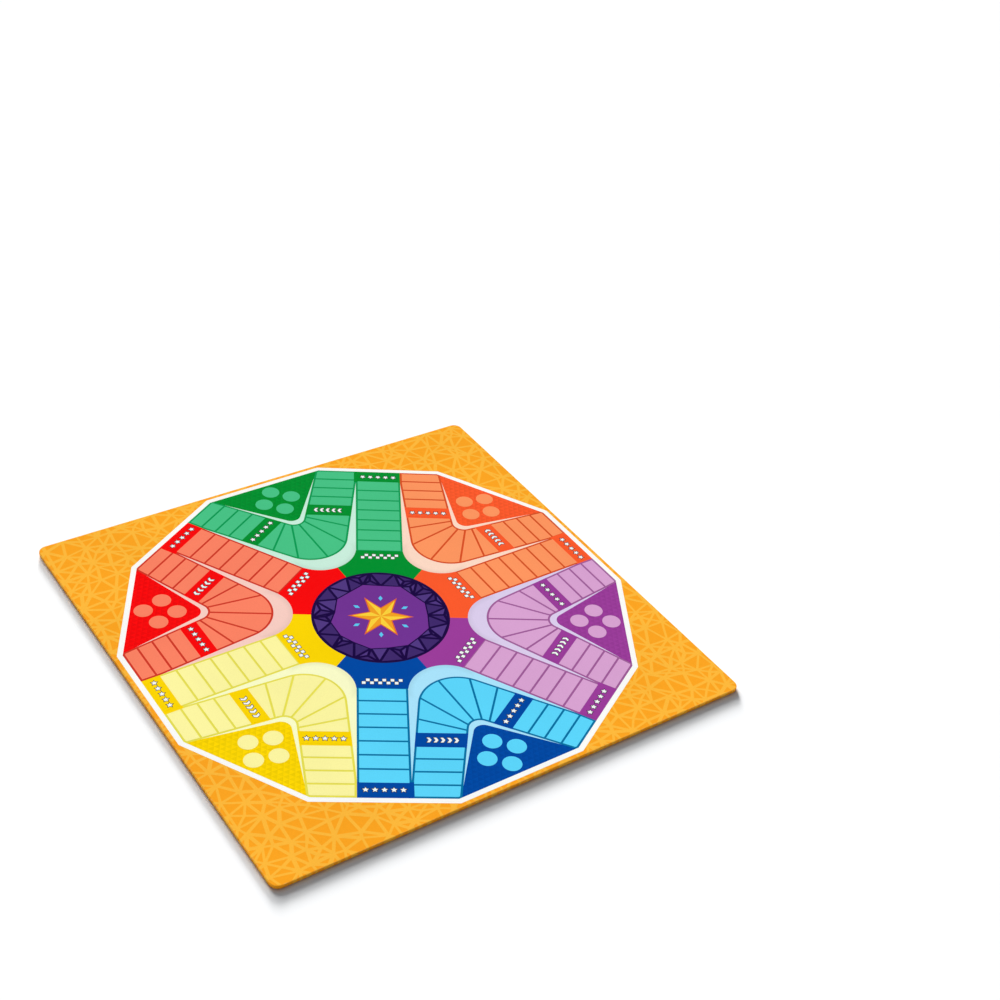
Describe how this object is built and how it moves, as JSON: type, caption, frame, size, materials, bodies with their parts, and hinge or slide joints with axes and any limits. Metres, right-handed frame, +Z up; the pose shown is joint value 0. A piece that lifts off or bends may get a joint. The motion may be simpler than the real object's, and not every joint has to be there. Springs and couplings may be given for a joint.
{
  "type": "pachisi board",
  "caption": "Flat square cardboard game board in a printed sheet, with a twelve-sided pachisi track of homes, bent lanes and straight lanes that lead to a round hub.",
  "frame": {"origin": "centre of the underside, on the surface that the board lies on", "axes": "+Z up out of the printed face; +Y to the green home, square to a side of the board; +X along the straight lane of the orange player"},
  "size_m": [0.34, 0.34, 0.0032],
  "materials": {
    "greyboard": "raw grey cardboard",
    "orange_sheet": "printed paper with a gloss laminate",
    "back_paper": "plain uncoated paper",
    "white_ink": "print under a gloss laminate",
    "hub_ring_ink": "print under a gloss laminate",
    "hub_disc_ink": "print under a gloss laminate",
    "green_full": "print under a gloss laminate",
    "green_line": "print under a gloss laminate",
    "green_light": "print under a gloss laminate",
    "green_pale": "print under a gloss laminate",
    "red_full": "print under a gloss laminate",
    "red_line": "print under a gloss laminate",
    "red_light": "print under a gloss laminate",
    "red_pale": "print under a gloss laminate",
    "yellow_full": "print under a gloss laminate",
    "yellow_line": "print under a gloss laminate",
    "yellow_light": "print under a gloss laminate",
    "yellow_pale": "print under a gloss laminate",
    "blue_full": "print under a gloss laminate",
    "blue_line": "print under a gloss laminate",
    "blue_light": "print under a gloss laminate",
    "blue_pale": "print under a gloss laminate",
    "purple_full": "print under a gloss laminate",
    "purple_line": "print under a gloss laminate",
    "purple_light": "print under a gloss laminate",
    "purple_pale": "print under a gloss laminate",
    "orange_full": "print under a gloss laminate",
    "orange_line": "print under a gloss laminate",
    "orange_light": "print under a gloss laminate",
    "orange_pale": "print under a gloss laminate"
  },
  "bodies": {
    "root": {"core_board": "greyboard", "face_wrap": "orange_sheet", "back_liner": "back_paper", "track_ground": "white_ink", "hub_ring": "hub_ring_ink", "hub_disc": "hub_disc_ink", "green_home": "green_full", "green_home_spots": "green_light", "green_track_bed": "green_line", "green_track_cells": "green_light", "green_marked_cells": "green_full", "green_finish": "green_full", "green_halo": "green_pale", "red_home": "red_full", "red_home_spots": "red_light", "red_track_bed": "red_line", "red_track_cells": "red_light", "red_marked_cells": "red_full", "red_finish": "red_full", "red_halo": "red_pale", "yellow_home": "yellow_full", "yellow_home_spots": "yellow_light", "yellow_track_bed": "yellow_line", "yellow_track_cells": "yellow_light", "yellow_marked_cells": "yellow_full", "yellow_finish": "yellow_full", "yellow_halo": "yellow_pale", "blue_home": "blue_full", "blue_home_spots": "blue_light", "blue_track_bed": "blue_line", "blue_track_cells": "blue_light", "blue_marked_cells": "blue_full", "blue_finish": "blue_full", "blue_halo": "blue_pale", "purple_home": "purple_full", "purple_home_spots": "purple_light", "purple_track_bed": "purple_line", "purple_track_cells": "purple_light", "purple_marked_cells": "purple_full", "purple_finish": "purple_full", "purple_halo": "purple_pale", "orange_home": "orange_full", "orange_home_spots": "orange_light", "orange_track_bed": "orange_line", "orange_track_cells": "orange_light", "orange_marked_cells": "orange_full", "orange_finish": "orange_full", "orange_halo": "orange_pale"}
  },
  "joints": []
}
